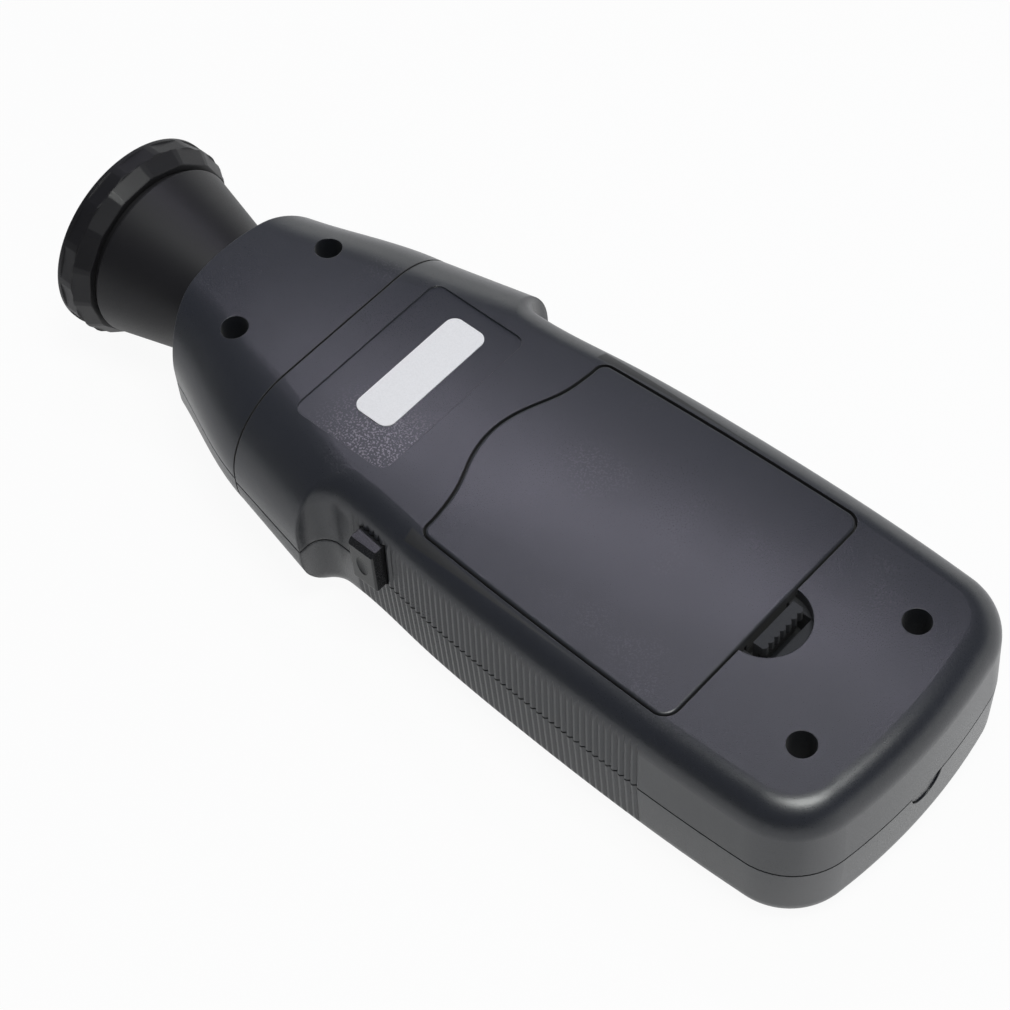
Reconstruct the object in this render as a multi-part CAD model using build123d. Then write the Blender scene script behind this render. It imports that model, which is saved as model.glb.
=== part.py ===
from build123d import *
import math
import os

# Handheld stroboscope tachometer, lying on its display side with the battery door up.
# X runs along the instrument toward the lamp, Y runs across it, Z is up.
# The origin is below the middle of the instrument, at the height of the ring's lowest point.

# Overall sizes
LENGTH = 215.0
TAIL_X = -LENGTH / 2
RING_FRONT_X = LENGTH / 2
RING_R = 22.9
LAMP_AXIS_Z = RING_R
BODY_THICKNESS = 36.8
REAR_Z = 40.2
FRONT_Z = REAR_Z - BODY_THICKNESS
PARTING_Z = REAR_Z - BODY_THICKNESS / 2
NOSE_PARTING_Z = LAMP_AXIS_Z
SEAM_X = 42.4
SEAM_GAP = 0.3
WALL = 2.2
DRAFT_INSET = 0.6
PARTING_GROOVE = (0.7, 0.2)
FIT = 0.15
FAR = 200.0

# Grip: half widths along the side wall, tail curve and edge rounding
GRIP_WIDTHS = [(-6.0, 33.1), (-32.0, 34.9), (-67.0, 35.6)]
WALL_END = (-86.8, 35.1)
TAIL_CORNER = (TAIL_X + 4.6, 34.3)
TAIL_CORNER_R = 15.0
GRIP_EDGE_R = 6.4
TAB_R = 4.3

# Finger guard: a notch behind the shoulder on each side
NOTCH_X = 15.2
NOTCH_Y = 36.0
NOTCH_R = 4.8
GUARD_JOIN_X = 30.5
GUARD_STUB_Y = 39.5

# Shoulder: half width and corner radius of the rounded section at both of its ends
SHOULDER_X = (-20.0, SEAM_X)
SHOULDER_HALF_WIDTH = (45.4, 33.7)
SHOULDER_CORNER_R = (11.0, 17.0)

# Nose sections: place, half width, top, bottom and corner radius
NOSE_SECTIONS = [(42.4, 33.7, 40.2, 3.4, 17.0), (53.4, 30.4, 40.2, 3.6, 15.8),
                 (64.4, 25.9, 40.0, 4.4, 14.2), (77.0, 21.6, 39.5, 6.2, 12.0)]
NOSE_FRONT_X = 76.8
NOSE_BOW_R = 45.0
NOSE_WALL_X = 70.6

# Nose collar, which the covers close over
COLLAR_X = (38.6, 42.7)
COLLAR_LIP_X = (38.6, 40.0)
COLLAR_ROOT_X = (42.7, 44.7)
COLLAR_LIP_INSET = 2.35
COLLAR_INSET = (3.75, 5.1)
CATCH_RIB_X = (40.2, SEAM_X)
CATCH_RIB_INSET = 3.6

# Ribs of the grip
RIB_PITCH = 1.6
RIB_COUNT = 49
RIB_FIRST_X = 10.6
RIB_DEPTH = 0.5
RIB_LAND = 0.45

# Screws and their wells
TAIL_SCREW = (-90.6, 17.3)
NOSE_SCREW = (59.4, 13.9)
WELL_R = 2.94
WELL_FLOOR_Z = 26.2
BOSS_R = 4.5
BORE_R = 1.6
PILOT_R = 1.5
SCREW_HEAD_R = 2.6
SCREW_HEAD_H = 2.2
SCREW_R = 1.45
SCREW_LENGTH = 12.0
SLOT_WIDTH = 0.9
BOARD_SCREWS = [(33.0, 22.0), (-74.0, 20.0)]
BOARD_SCREW_LENGTH = 5.5
POST_R = 3.0

# Label recess and sticker
PANEL_X = (10.4, 35.4)
PANEL_HALF_WIDTH = 21.3
PANEL_R = 2.5
PANEL_DEPTH = 0.4
STICKER_X = (17.0, 26.8)
STICKER_Y = (-17.2, 13.1)
STICKER_R = 2.4
STICKER_T = 0.2

# Battery door: outline, latch and hooks
DOOR_TAIL_X = -68.7
DOOR_HEAD_X = -5.2
DOOR_SIDE = [(-36.0, 28.5), (-60.0, 29.1)]
DOOR_HEAD_HALF_WIDTH = 27.0
DOOR_TAIL_HALF_WIDTH = 29.2
DOOR_WAVE = [(-5.1, 23.5), (-3.3, 14.2), (-0.6, 7.5)]
DOOR_TIP_X = 0.7
DOOR_TAIL_R = 3.2
DOOR_HEAD_R = 2.2
DOOR_T = 2.2
DOOR_GAP = 0.4
DOOR_EDGE_R = 0.6
LATCH_HALF_WIDTH = 6.0
LATCH_FLOOR_Z = 32.4
LATCH_T = 1.2
LATCH_LEG_X = -71.4
LATCH_BAR_X = (-73.0, -70.2)
LATCH_BAR_Z = (37.8, 40.5)
LATCH_TEETH = 7
HOOK_Y = 18.0
HOOK_WIDTH = 4.0
HOOK_X = (-5.4, -4.3)
HOOK_TOE_X = -2.2
HOOK_Z = (36.2, 37.4)

# Ledges and pockets round the door
LEDGE_T = 1.2
LEDGE_X = (-70.4, -3.4)
LEDGE_HALF_WIDTH = 30.6
MOUTH_HALF_WIDTH = 25.8
RECESS_R = 8.8
RECESS_FLOOR_Z = 37.4
SLOT_TAIL_X = -73.8
LATCH_POCKET_X = (-74.2, -66.9)
LATCH_POCKET_HALF_WIDTH = 6.7
LATCH_POCKET_Z = 31.6
HEAD_POCKET_X = -1.0
HEAD_POCKET_HALF_WIDTH = 22.0
TONGUE_POCKET_X = 3.2
TONGUE_POCKET_HALF_WIDTH = 12.6
HEAD_POCKET_Z = 31.8
HEAD_WALL_Z = 34.4
HINGE_RELIEF_X = (-7.4, -4.8)
HINGE_RELIEF_DEPTH = 0.5
POCKET_WALL = 1.2

# Battery compartment: four cells lie across the instrument
CELL_R = 7.1
CELL_LENGTH = 50.2
CELL_NUB_R = 2.75
CELL_NUB_H = 1.0
CELL_PITCH = 14.4
CELL_FIRST_X = -59.7
CELL_COUNT = 4
CELL_Z = 30.2
TRAY_X = (-67.0, -9.2)
TRAY_HALF_WIDTH = 27.6
TRAY_FLOOR_Z = 22.9
TRAY_WALL = 1.5
CONTACT_T = 0.3
CONTACT_Z = (25.2, 35.2)
CONTACT_HALF_LENGTH = 4.6
LEAF_HALF_WIDTH = 2.4
LEAF_TIP_Y = 25.15

# Side button and its switch
BUTTON_X = (1.2, 7.8)
BUTTON_Z = (22.2, 34.4)
BUTTON_FACE_Y = 35.0
BUTTON_CLEARANCE = 0.35
BUTTON_FLANGE_Y = (26.9, 28.1)
BUTTON_FLANGE_MARGIN = 1.2
BUTTON_BOSS_Y = 25.7
BUTTON_BOSS_HALF_WIDTH = 2.0
BUTTON_CHAMFER = 1.1
BUTTON_EDGE_R = 0.5
DIMPLE_SIZE = (1.5, 0.55, 2.9)
SWITCH_X = (1.4, 7.6)
SWITCH_Y = (17.0, 23.0)
SWITCH_TOP_Z = 31.6
PLUNGER_Y = 24.7
PLUNGER_R = 1.6

# Board, display and keys
BOARD_Z = (12.6, 14.2)
BOARD_X = (-80.0, 37.0)
BOARD_HALF_WIDTH = 26.5
BOARD_R = 4.0
WINDOW_X = 14.0
WINDOW_SIZE = (25.0, 43.0)
WINDOW_FRAME = 2.0
WINDOW_R = 2.5
WINDOW_T = 1.5
WINDOW_SINK = 0.2
LCD_SIZE = (27.0, 46.0)
LCD_Z = (7.0, 9.8)
LCD_RIM = 1.5
KEYPAD_X = (-64.0, -10.0)
KEYPAD_HALF_WIDTH = 22.0
KEYPAD_R = 9.0
KEYPAD_DEPTH = 0.8
KEY_PROUD = 0.5
KEY_CLEARANCE = 0.35
KEY_EDGE_R = 0.4
KEY_FLANGE = 1.2
KEY_FLANGE_Z = (5.8, 6.8)
KEY_POST_R = 2.2
KEY_POST_Z = 7.5
DOME_TIP_Z = 8.2
DOME_R = (2.6, 4.2)
MAT_T = 1.0
MODE_KEY = (-20.0, 0.0)
MODE_KEY_SIZE = (9.0, 18.0)
MODE_KEY_R = 4.2
ROUND_KEY_R = 6.0
ROUND_KEYS = {"key_up": (-36.0, 11.0), "key_down": (-36.0, -11.0),
              "key_double": (-53.0, 11.0), "key_half": (-53.0, -11.0)}

# Lamp: places along the lamp axis and radii about it
BARREL_REAR_X = 64.9
CONE_START = (74.0, 13.7)
CONE_END = (98.4, 20.0)
BARREL_NECK_R = 19.0
BARREL_WALL = 1.6
BARREL_TUBE_R = 11.4
FLANGE_X = (71.4, 73.2)
FLANGE_R = 15.7
LAMP_BOARD_X = (66.6, 68.2)
LAMP_BOARD_R = 9.7
LAMP_SEAT_R = 8.0
LED_HALF_WIDTH = 2.4
LED_BASE_X = 69.2
LED_DOME_X = 70.4
LED_DOME_R = 1.9
LED_DOME_EDGE_R = 1.1
REFLECTOR_APEX_X = 68.4
REFLECTOR_FOCUS = 2.0
REFLECTOR_REAR_X = 69.8
REFLECTOR_RIM_X = 102.4
REFLECTOR_T = 0.8
RIM_WALL = 1.0
LENS_X = (103.6, 105.4)
LENS_R = 19.0
RING_REAR_X = 99.9
RING_REAR_R = 20.8
RING_STEP_X = 103.2
RING_LIP_X = 106.6
RING_MOUTH_R = 18.2
RING_FACETS = 15
FACET_DEPTH = 0.35


def block(x, y, z):
    """A box between the given pairs of coordinates."""
    size = (x[1] - x[0], y[1] - y[0], z[1] - z[0])
    centre = ((x[0] + x[1]) / 2, (y[0] + y[1]) / 2, (z[0] + z[1]) / 2)
    return Pos(*centre) * Box(*size)


def middle_block(x, half_width, z):
    """A box that is symmetric about the middle plane."""
    return block(x, (-half_width, half_width), z)


def slab(x, z=(-FAR, FAR)):
    """All of space between two places along the instrument and two heights."""
    return middle_block(x, FAR, z)


def post(place, z, radius):
    """An upright cylinder between two heights."""
    return Pos(place[0], place[1], (z[0] + z[1]) / 2) * Cylinder(radius, z[1] - z[0])


def both_sides(place):
    """A place and its mirror image across the middle plane."""
    return [place, (place[0], -place[1])]


def rounded_plate(x, y, z, radius):
    """A flat plate with rounded corners."""
    outline = RectangleRounded(x[1] - x[0], y[1] - y[0], radius)
    return extrude(Pos((x[0] + x[1]) / 2, (y[0] + y[1]) / 2, z[0]) * outline, z[1] - z[0])


def front_mirror(solid):
    """The image of an upper-half solid in the lower half of the body."""
    return mirror(solid, Plane.XY.offset(PARTING_Z))


def section(x, half_width, top, bottom, radius):
    """A rounded upright cross-section of the instrument."""
    plane = Plane(origin=(x, 0, (top + bottom) / 2), x_dir=(0, 1, 0), z_dir=(1, 0, 0))
    return plane * RectangleRounded(2 * half_width, top - bottom, radius)


def about_lamp_axis(points):
    """A body of revolution about the lamp axis, from places and radii."""
    outline = Polyline(*[(x, 0, LAMP_AXIS_Z + r) for x, r in points], close=True)
    return revolve(make_face(outline), Axis((0, 0, LAMP_AXIS_Z), (1, 0, 0)))


def lamp_tube(x, radius):
    """A cylinder on the lamp axis."""
    centre = Pos((x[0] + x[1]) / 2, 0, LAMP_AXIS_Z)
    return centre * Rotation(0, 90, 0) * Cylinder(radius, x[1] - x[0])


def wall_curve(side, inset):
    """Plan curve of one side wall of the grip, from the guard notch to the tail."""
    start = (NOTCH_X, side * (NOTCH_Y - NOTCH_R - inset))
    middle = [(x, side * (y - inset)) for x, y in GRIP_WIDTHS]
    end = (WALL_END[0], side * (WALL_END[1] - inset))
    run = (TAIL_CORNER[0] - WALL_END[0], side * (TAIL_CORNER[1] - WALL_END[1]))
    end_tangent = (run[0] / math.hypot(*run), run[1] / math.hypot(*run))
    return Spline(start, *middle, end, tangents=[(-1, 0), end_tangent])


def grip_outline(inset):
    """Plan of the grip with both guard notches, moved inward by the inset."""
    notch_r = NOTCH_R + inset
    corner_x = TAIL_CORNER[0] + inset
    corner_y = TAIL_CORNER[1] - inset
    lines = []
    for side in (1, -1):
        stub_end = (NOTCH_X + notch_r, side * GUARD_STUB_Y)
        notch_start = (NOTCH_X + notch_r, side * NOTCH_Y)
        lines.append(Line((GUARD_JOIN_X, side * GUARD_STUB_Y), stub_end))
        lines.append(Line(stub_end, notch_start))
        lines.append(CenterArc((NOTCH_X, side * NOTCH_Y), notch_r, 0, -90 * side))
        lines.append(wall_curve(side, inset))
        wall_end = (WALL_END[0], side * (WALL_END[1] - inset))
        lines.append(Line(wall_end, (corner_x, side * corner_y)))
    lines.append(ThreePointArc((corner_x, corner_y), (TAIL_X + inset, 0), (corner_x, -corner_y)))
    lines.append(Line((GUARD_JOIN_X, -GUARD_STUB_Y), (GUARD_JOIN_X, GUARD_STUB_Y)))
    face = make_face(lines)
    corners = [v for v in face.vertices() if v.X < corner_x + 0.5]
    return fillet(corners, TAIL_CORNER_R - inset)


def grip_half(inset):
    """Upper half of the grip, with drafted walls and a rounded edge round the rear face."""
    low = Pos(0, 0, PARTING_Z) * grip_outline(inset)
    high = Pos(0, 0, REAR_Z - inset) * grip_outline(inset + DRAFT_INSET)
    solid = loft([low, high], ruled=True)
    rim = solid.faces().sort_by(Axis.Z)[-1]

    def is_outer(edge):
        place = edge.center()
        return place.X < GUARD_JOIN_X - 0.1 and abs(abs(place.Y) - GUARD_STUB_Y) > 0.3
    return fillet([e for e in rim.edges() if is_outer(e)], GRIP_EDGE_R - inset)


def shoulder(inset, x):
    """Rounded stock of the shoulders between two places along the instrument."""
    def at(place):
        share = (place - SHOULDER_X[0]) / (SHOULDER_X[1] - SHOULDER_X[0])
        half = SHOULDER_HALF_WIDTH[0] + share * (SHOULDER_HALF_WIDTH[1] - SHOULDER_HALF_WIDTH[0])
        radius = SHOULDER_CORNER_R[0] + share * (SHOULDER_CORNER_R[1] - SHOULDER_CORNER_R[0])
        return section(place, half - inset, REAR_Z - inset, FRONT_Z + inset, radius - inset)
    return loft([at(x[0]), at(x[1])], ruled=True)


def body_half(inset, front_x=SEAM_X):
    """Upper half of the body from the tail to the nose seam, moved inward by the inset."""
    front = shoulder(inset, (GUARD_JOIN_X - 0.5, front_x)) & slab((-FAR, FAR), (PARTING_Z, FAR))
    grip = grip_half(inset)
    rear = grip & slab((-FAR, SHOULDER_X[0] + 1))
    guard = grip & shoulder(inset, (SHOULDER_X[0], GUARD_JOIN_X))
    return rear + guard + front


def rib_comb(side):
    """Cutter for the grooves between the ribs of one side wall; it leans with the draft."""
    curve = wall_curve(side, 0)
    samples = [curve @ (i / 100) for i in range(101)]

    def wall_y(x):
        ahead = [p for p in samples if p.X >= x][-1]
        behind = [p for p in samples if p.X < x][0]
        return ahead.Y + (behind.Y - ahead.Y) * (x - ahead.X) / (behind.X - ahead.X)
    crest = side * RIB_DEPTH * RIB_LAND / (RIB_PITCH - RIB_LAND)
    open_y = side * FAR / 4
    points = [(RIB_FIRST_X + RIB_PITCH / 2, open_y)]
    for i in range(RIB_COUNT):
        groove_x = RIB_FIRST_X - i * RIB_PITCH
        crest_x = groove_x + RIB_PITCH / 2
        points.append((crest_x, wall_y(crest_x) + crest))
        points.append((groove_x, wall_y(groove_x) - side * RIB_DEPTH))
    last_x = RIB_FIRST_X - (RIB_COUNT - 0.5) * RIB_PITCH
    points += [(last_x, wall_y(last_x) + crest), (last_x, open_y)]
    face = Pos(0, 0, PARTING_Z) * make_face(Polyline(*points, close=True))
    lean = (0, -side * DRAFT_INSET, BODY_THICKNESS / 2)
    return extrude(face, math.hypot(*lean), dir=lean)


def outer_half():
    """Upper half of the outside of the body, with its ribs and parting groove."""
    solid = body_half(0)
    for side in (1, -1):
        solid -= rib_comb(side)
    depth, height = PARTING_GROOVE
    band = slab((-FAR, FAR), (PARTING_Z - 1, PARTING_Z + height)) - body_half(depth, SEAM_X + 1)
    return solid - band


def tail_tab_zone(radius):
    """Round zone at the tail in which the rear cover reaches below the parting line."""
    return Pos(TAIL_X + 4, 0, PARTING_Z) * Rotation(0, 90, 0) * Cylinder(radius, 12)


def screw_bosses(place, z):
    """Pair of screw bosses, one each side of the middle plane."""
    return [post(spot, z, BOSS_R) for spot in both_sides(place)]


def screw_wells(place):
    """Pair of wells with the bores below them."""
    wells = [post(spot, (WELL_FLOOR_Z, FAR), WELL_R) for spot in both_sides(place)]
    return wells + [post(spot, (0, WELL_FLOOR_Z + 1), BORE_R) for spot in both_sides(place)]


def catch_rib():
    """Rib inside both covers at the seam, behind which the lip of the nose collar sits."""
    around = shoulder(WALL - 0.3, CATCH_RIB_X)
    return around - shoulder(CATCH_RIB_INSET, (CATCH_RIB_X[0] - 1, SEAM_X + 1))


def door_face(gap):
    """Plan of the battery door, with the wavy tongue at its head, grown by the gap."""
    ahead = [(x + gap, y) for x, y in DOOR_WAVE]
    wave = ahead + [(DOOR_TIP_X + gap, 0)] + [(x, -y) for x, y in reversed(ahead)]
    tail = (DOOR_TAIL_X - gap, DOOR_TAIL_HALF_WIDTH + gap)
    corner = (DOOR_HEAD_X + gap, DOOR_HEAD_HALF_WIDTH + gap)
    lines = [Spline(*wave, tangents=[(0.1, -1), (-0.1, -1)]), Line(tail, (tail[0], -tail[1]))]
    for side in (1, -1):
        start = (corner[0], side * corner[1])
        middle = [(x, side * (y + gap)) for x, y in DOOR_SIDE]
        lines.append(Line((ahead[0][0], side * ahead[0][1]), start))
        lines.append(Spline(start, *middle, (tail[0], side * tail[1])))
    face = make_face(lines)
    face = fillet([v for v in face.vertices() if v.X < DOOR_TAIL_X + 1], DOOR_TAIL_R + gap)
    heads = [v for v in face.vertices() if v.X > DOOR_HEAD_X - 1 and abs(v.Y) > 26]
    return fillet(heads, DOOR_HEAD_R + gap)


def door_latch():
    """Spring latch at the door's tail: a U-shaped leg with a toothed thumb bar."""
    latch = middle_block((LATCH_LEG_X, DOOR_TAIL_X + LATCH_T), LATCH_HALF_WIDTH,
                         (LATCH_FLOOR_Z, REAR_Z - DOOR_T + 0.2))
    latch -= slab((LATCH_LEG_X + LATCH_T, DOOR_TAIL_X), (LATCH_FLOOR_Z + LATCH_T, FAR))
    bar = middle_block(LATCH_BAR_X, LATCH_HALF_WIDTH, LATCH_BAR_Z)
    pitch = 2 * LATCH_HALF_WIDTH / LATCH_TEETH
    for i in range(LATCH_TEETH + 1):
        y = i * pitch - LATCH_HALF_WIDTH
        bar -= Pos(LATCH_BAR_X[0], y, REAR_Z) * Rotation(0, 0, 45) * Box(0.8, 0.8, 6)
    return latch + bar


def battery_door():
    """The door plate with its spring latch at the tail and two hooks at the head."""
    plate = extrude(Pos(0, 0, REAR_Z - DOOR_T) * door_face(0), DOOR_T, dir=(0, 0, 1))
    rim = plate.faces().sort_by(Axis.Z)[-1].edges()
    sides = [e for e in rim if abs(e.center().Y) > 24 and e.center().X < DOOR_HEAD_X - 0.3]
    door = fillet(sides, DOOR_EDGE_R)
    door += door_latch()
    for y in (-HOOK_Y, HOOK_Y):
        width = (y - HOOK_WIDTH / 2, y + HOOK_WIDTH / 2)
        door += block(HOOK_X, width, (HOOK_Z[0], REAR_Z - DOOR_T + 0.2))
        door += block((HOOK_X[0], HOOK_TOE_X), width, HOOK_Z)
    return door


def battery_tray():
    """Solid stock round the battery compartment, its ledges and its pockets."""
    roof_z = REAR_Z - WALL + 0.2
    tray = middle_block((TRAY_X[0] - TRAY_WALL, TRAY_X[1] + TRAY_WALL), TRAY_HALF_WIDTH + TRAY_WALL,
                        (TRAY_FLOOR_Z - TRAY_WALL, roof_z))
    ledge = middle_block(LEDGE_X, LEDGE_HALF_WIDTH, (REAR_Z - DOOR_T - LEDGE_T, roof_z))
    latch = middle_block((LATCH_POCKET_X[0] - POCKET_WALL, TRAY_X[0]),
                         LATCH_POCKET_HALF_WIDTH + POCKET_WALL,
                         (LATCH_POCKET_Z - POCKET_WALL, roof_z))
    head_z = (HEAD_POCKET_Z - POCKET_WALL, roof_z)
    head = middle_block((TRAY_X[1], HEAD_POCKET_X + POCKET_WALL),
                        HEAD_POCKET_HALF_WIDTH + POCKET_WALL, head_z)
    tongue = middle_block((TRAY_X[1], TONGUE_POCKET_X + POCKET_WALL),
                          TONGUE_POCKET_HALF_WIDTH + POCKET_WALL, head_z)
    thumb = post((DOOR_TAIL_X, 0), (RECESS_FLOOR_Z - POCKET_WALL, roof_z), RECESS_R + POCKET_WALL)
    return tray + [ledge, latch, head, tongue, thumb]


def battery_space():
    """The hollows of the battery compartment, its mouth, its pockets and the thumb recess."""
    roof_z = REAR_Z - DOOR_T
    over_z = roof_z + 0.1
    ledge_z = roof_z - LEDGE_T
    head_wall_x = TRAY_X[1] + TRAY_WALL
    cells = middle_block(TRAY_X, TRAY_HALF_WIDTH, (TRAY_FLOOR_Z, ledge_z))
    mouth = middle_block(TRAY_X, MOUTH_HALF_WIDTH, (ledge_z - 1, over_z))
    latch = middle_block(LATCH_POCKET_X, LATCH_POCKET_HALF_WIDTH, (LATCH_POCKET_Z, roof_z))
    slot = middle_block((SLOT_TAIL_X, DOOR_TAIL_X), LATCH_POCKET_HALF_WIDTH, (roof_z - 1, FAR))
    head = middle_block((head_wall_x, HEAD_POCKET_X), HEAD_POCKET_HALF_WIDTH, (HEAD_POCKET_Z, over_z))
    tongue = middle_block((head_wall_x, TONGUE_POCKET_X), TONGUE_POCKET_HALF_WIDTH,
                          (HEAD_POCKET_Z, roof_z))
    pass_over = middle_block((TRAY_X[1] - 1, head_wall_x + 1), HEAD_POCKET_HALF_WIDTH,
                             (HEAD_WALL_Z, over_z))
    relief = middle_block(HINGE_RELIEF_X, DOOR_HEAD_HALF_WIDTH + DOOR_GAP,
                          (roof_z - HINGE_RELIEF_DEPTH, over_z))
    thumb = post((DOOR_TAIL_X, 0), (RECESS_FLOOR_Z, FAR), RECESS_R) & slab((-FAR, DOOR_TAIL_X))
    opening = extrude(Pos(0, 0, roof_z) * door_face(DOOR_GAP), DOOR_T + 1, dir=(0, 0, 1))
    return [cells, mouth, latch, slot, head, tongue, pass_over, relief, thumb, opening]


def button_hole():
    """Notch in the rear cover's parting edge, in which the side button travels."""
    gap = BUTTON_CLEARANCE
    return block((BUTTON_X[0] - gap, BUTTON_X[1] + gap), (BUTTON_FLANGE_Y[1], FAR),
                 (PARTING_Z - 1, BUTTON_Z[1] + gap))


def rear_cover(outer, cavity):
    """Rear half of the housing with the battery compartment."""
    stock = body_half(1.0)
    lower_stock = stock + front_mirror(stock)
    upper = slab((-FAR, FAR), (PARTING_Z, FAR))
    cover = outer - cavity
    cover += battery_tray() & lower_stock
    cover += [boss & stock for boss in screw_bosses(TAIL_SCREW, (PARTING_Z, FAR))]
    cover += catch_rib() & upper
    for hollow in battery_space() + screw_wells(TAIL_SCREW):
        cover -= hollow
    cover -= rounded_plate(PANEL_X, (-PANEL_HALF_WIDTH, PANEL_HALF_WIDTH),
                           (REAR_Z - PANEL_DEPTH, REAR_Z + 1), PANEL_R)
    cover -= button_hole()
    tab = front_mirror(body_half(0.35) - cavity) & tail_tab_zone(TAB_R)
    return cover + tab


def key_outlines(margin):
    """Plan outlines of the five key caps, grown by the margin, keyed by name."""
    mode = RectangleRounded(MODE_KEY_SIZE[0] + 2 * margin, MODE_KEY_SIZE[1] + 2 * margin,
                            MODE_KEY_R + margin)
    outlines = {"key_mode": Pos(*MODE_KEY) * mode}
    for name, place in ROUND_KEYS.items():
        outlines[name] = Pos(*place) * Circle(ROUND_KEY_R + margin)
    return outlines


def window_plate(margin, z):
    """A plate the size of the display window, grown by the margin."""
    half_x = WINDOW_SIZE[0] / 2 + margin
    half_y = WINDOW_SIZE[1] / 2 + margin
    return rounded_plate((WINDOW_X - half_x, WINDOW_X + half_x), (-half_y, half_y), z,
                         WINDOW_R + margin)


def front_cover(outer, cavity):
    """Display half of the housing with its window opening, key holes and board posts."""
    floor_z = FRONT_Z + WALL
    stock = front_mirror(body_half(1.0))
    cover = front_mirror(outer - cavity)
    cover += [boss & stock for boss in screw_bosses(TAIL_SCREW, (0, PARTING_Z))]
    cover += catch_rib() & slab((0, FAR), (0, PARTING_Z))
    cover += window_plate(WINDOW_FRAME, (floor_z - 0.2, floor_z + 1.0))
    cover -= window_plate(FIT, (0, FRONT_Z + WINDOW_T + WINDOW_SINK))
    cover -= window_plate(-WINDOW_FRAME, (0, floor_z + 2))
    cover -= rounded_plate(KEYPAD_X, (-KEYPAD_HALF_WIDTH, KEYPAD_HALF_WIDTH),
                           (0, FRONT_Z + KEYPAD_DEPTH), KEYPAD_R)
    for outline in key_outlines(KEY_CLEARANCE).values():
        cover -= extrude(outline, floor_z + 1)
    for place in BOARD_SCREWS:
        for spot in both_sides(place):
            cover += post(spot, (floor_z - 0.2, BOARD_Z[0]), POST_R)
            cover -= post(spot, (floor_z + 1, BOARD_Z[0] + 1), PILOT_R)
    pilot_z = (WELL_FLOOR_Z - SCREW_LENGTH - 1, FAR)
    cover -= [post(spot, pilot_z, PILOT_R) for spot in both_sides(TAIL_SCREW)]
    return cover - tail_tab_zone(TAB_R + 0.25)


def nose_stock(inset):
    """Stock of the nose, moved inward by the inset."""
    return loft([section(x, half - inset, top - inset, bottom + inset, radius - inset)
                 for x, half, top, bottom, radius in NOSE_SECTIONS])


def nose_collar():
    """Collar behind the nose, with the lip that the covers' catch rib holds."""
    root = (nose_stock(1.5) - nose_stock(COLLAR_INSET[1])) & slab(COLLAR_ROOT_X)
    collar = shoulder(COLLAR_INSET[0], COLLAR_X) + shoulder(COLLAR_LIP_INSET, COLLAR_LIP_X)
    return root + (collar - shoulder(COLLAR_INSET[1], (COLLAR_X[0] - 1, COLLAR_X[1] + 1)))


def barrel_seat():
    """Hollow in the nose's front wall, in which the barrel's flange is clamped."""
    cone_x = (FLANGE_X[1] - 0.1, NOSE_FRONT_X + 2)
    cone = [(cone_x[0], 0), (cone_x[0], cone_r(cone_x[0]) + 0.25),
            (cone_x[1], cone_r(cone_x[1]) + 0.25), (cone_x[1], 0)]
    return [lamp_tube((NOSE_WALL_X - 1, FLANGE_X[0]), BARREL_TUBE_R + FIT),
            lamp_tube(FLANGE_X, FLANGE_R + FIT), about_lamp_axis(cone)]


def nose_shells():
    """Rear and front shells of the nose, which clamp the lamp barrel between them."""
    bow = post((NOSE_FRONT_X - NOSE_BOW_R, 0), (0, FAR), NOSE_BOW_R) & slab((NOSE_FRONT_X - 20, FAR))
    keep = slab((SEAM_X + SEAM_GAP, NOSE_FRONT_X - 15)) + bow
    inside = slab((0, NOSE_WALL_X))
    nose = nose_stock(0) & keep
    nose -= nose_stock(WALL) & inside
    nose += nose_collar()
    nose -= barrel_seat()
    depth, height = PARTING_GROOVE
    groove = slab((SEAM_X, FAR), (NOSE_PARTING_Z - height, NOSE_PARTING_Z + height))
    nose -= groove - nose_stock(depth)
    shells = {}
    for name, z in (("nose_rear_shell", (NOSE_PARTING_Z, FAR)),
                    ("nose_front_shell", (0, NOSE_PARTING_Z))):
        bosses = [boss & nose_stock(1.0) & inside for boss in screw_bosses(NOSE_SCREW, z)]
        shells[name] = (nose & slab((0, FAR), z)) + bosses - screw_wells(NOSE_SCREW)
    return shells


def cone_r(x):
    """Outer radius of the barrel's cone at a place along the lamp axis."""
    slope = (CONE_END[1] - CONE_START[1]) / (CONE_END[0] - CONE_START[0])
    return CONE_START[1] + slope * (x - CONE_START[0])


def lamp_barrel():
    """The conical barrel with its rear tube, clamping flange and ring neck."""
    outer = [(BARREL_REAR_X, BARREL_TUBE_R), (FLANGE_X[0], BARREL_TUBE_R), (FLANGE_X[0], FLANGE_R),
             (FLANGE_X[1], FLANGE_R), (FLANGE_X[1], cone_r(FLANGE_X[1])), CONE_END,
             (CONE_END[0], BARREL_NECK_R), (LENS_X[0], BARREL_NECK_R)]
    bore_r = BARREL_NECK_R - BARREL_WALL
    rim_r = BARREL_NECK_R - RIM_WALL
    inner = [(LENS_X[0], rim_r), (REFLECTOR_RIM_X, rim_r), (REFLECTOR_RIM_X, bore_r),
             (CONE_END[0] - 2, bore_r), (REFLECTOR_REAR_X + 1, LAMP_SEAT_R),
             (LAMP_BOARD_X[1], LAMP_SEAT_R), (LAMP_BOARD_X[1], LAMP_BOARD_R),
             (BARREL_REAR_X, LAMP_BOARD_R)]
    return about_lamp_axis(outer + inner)


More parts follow.
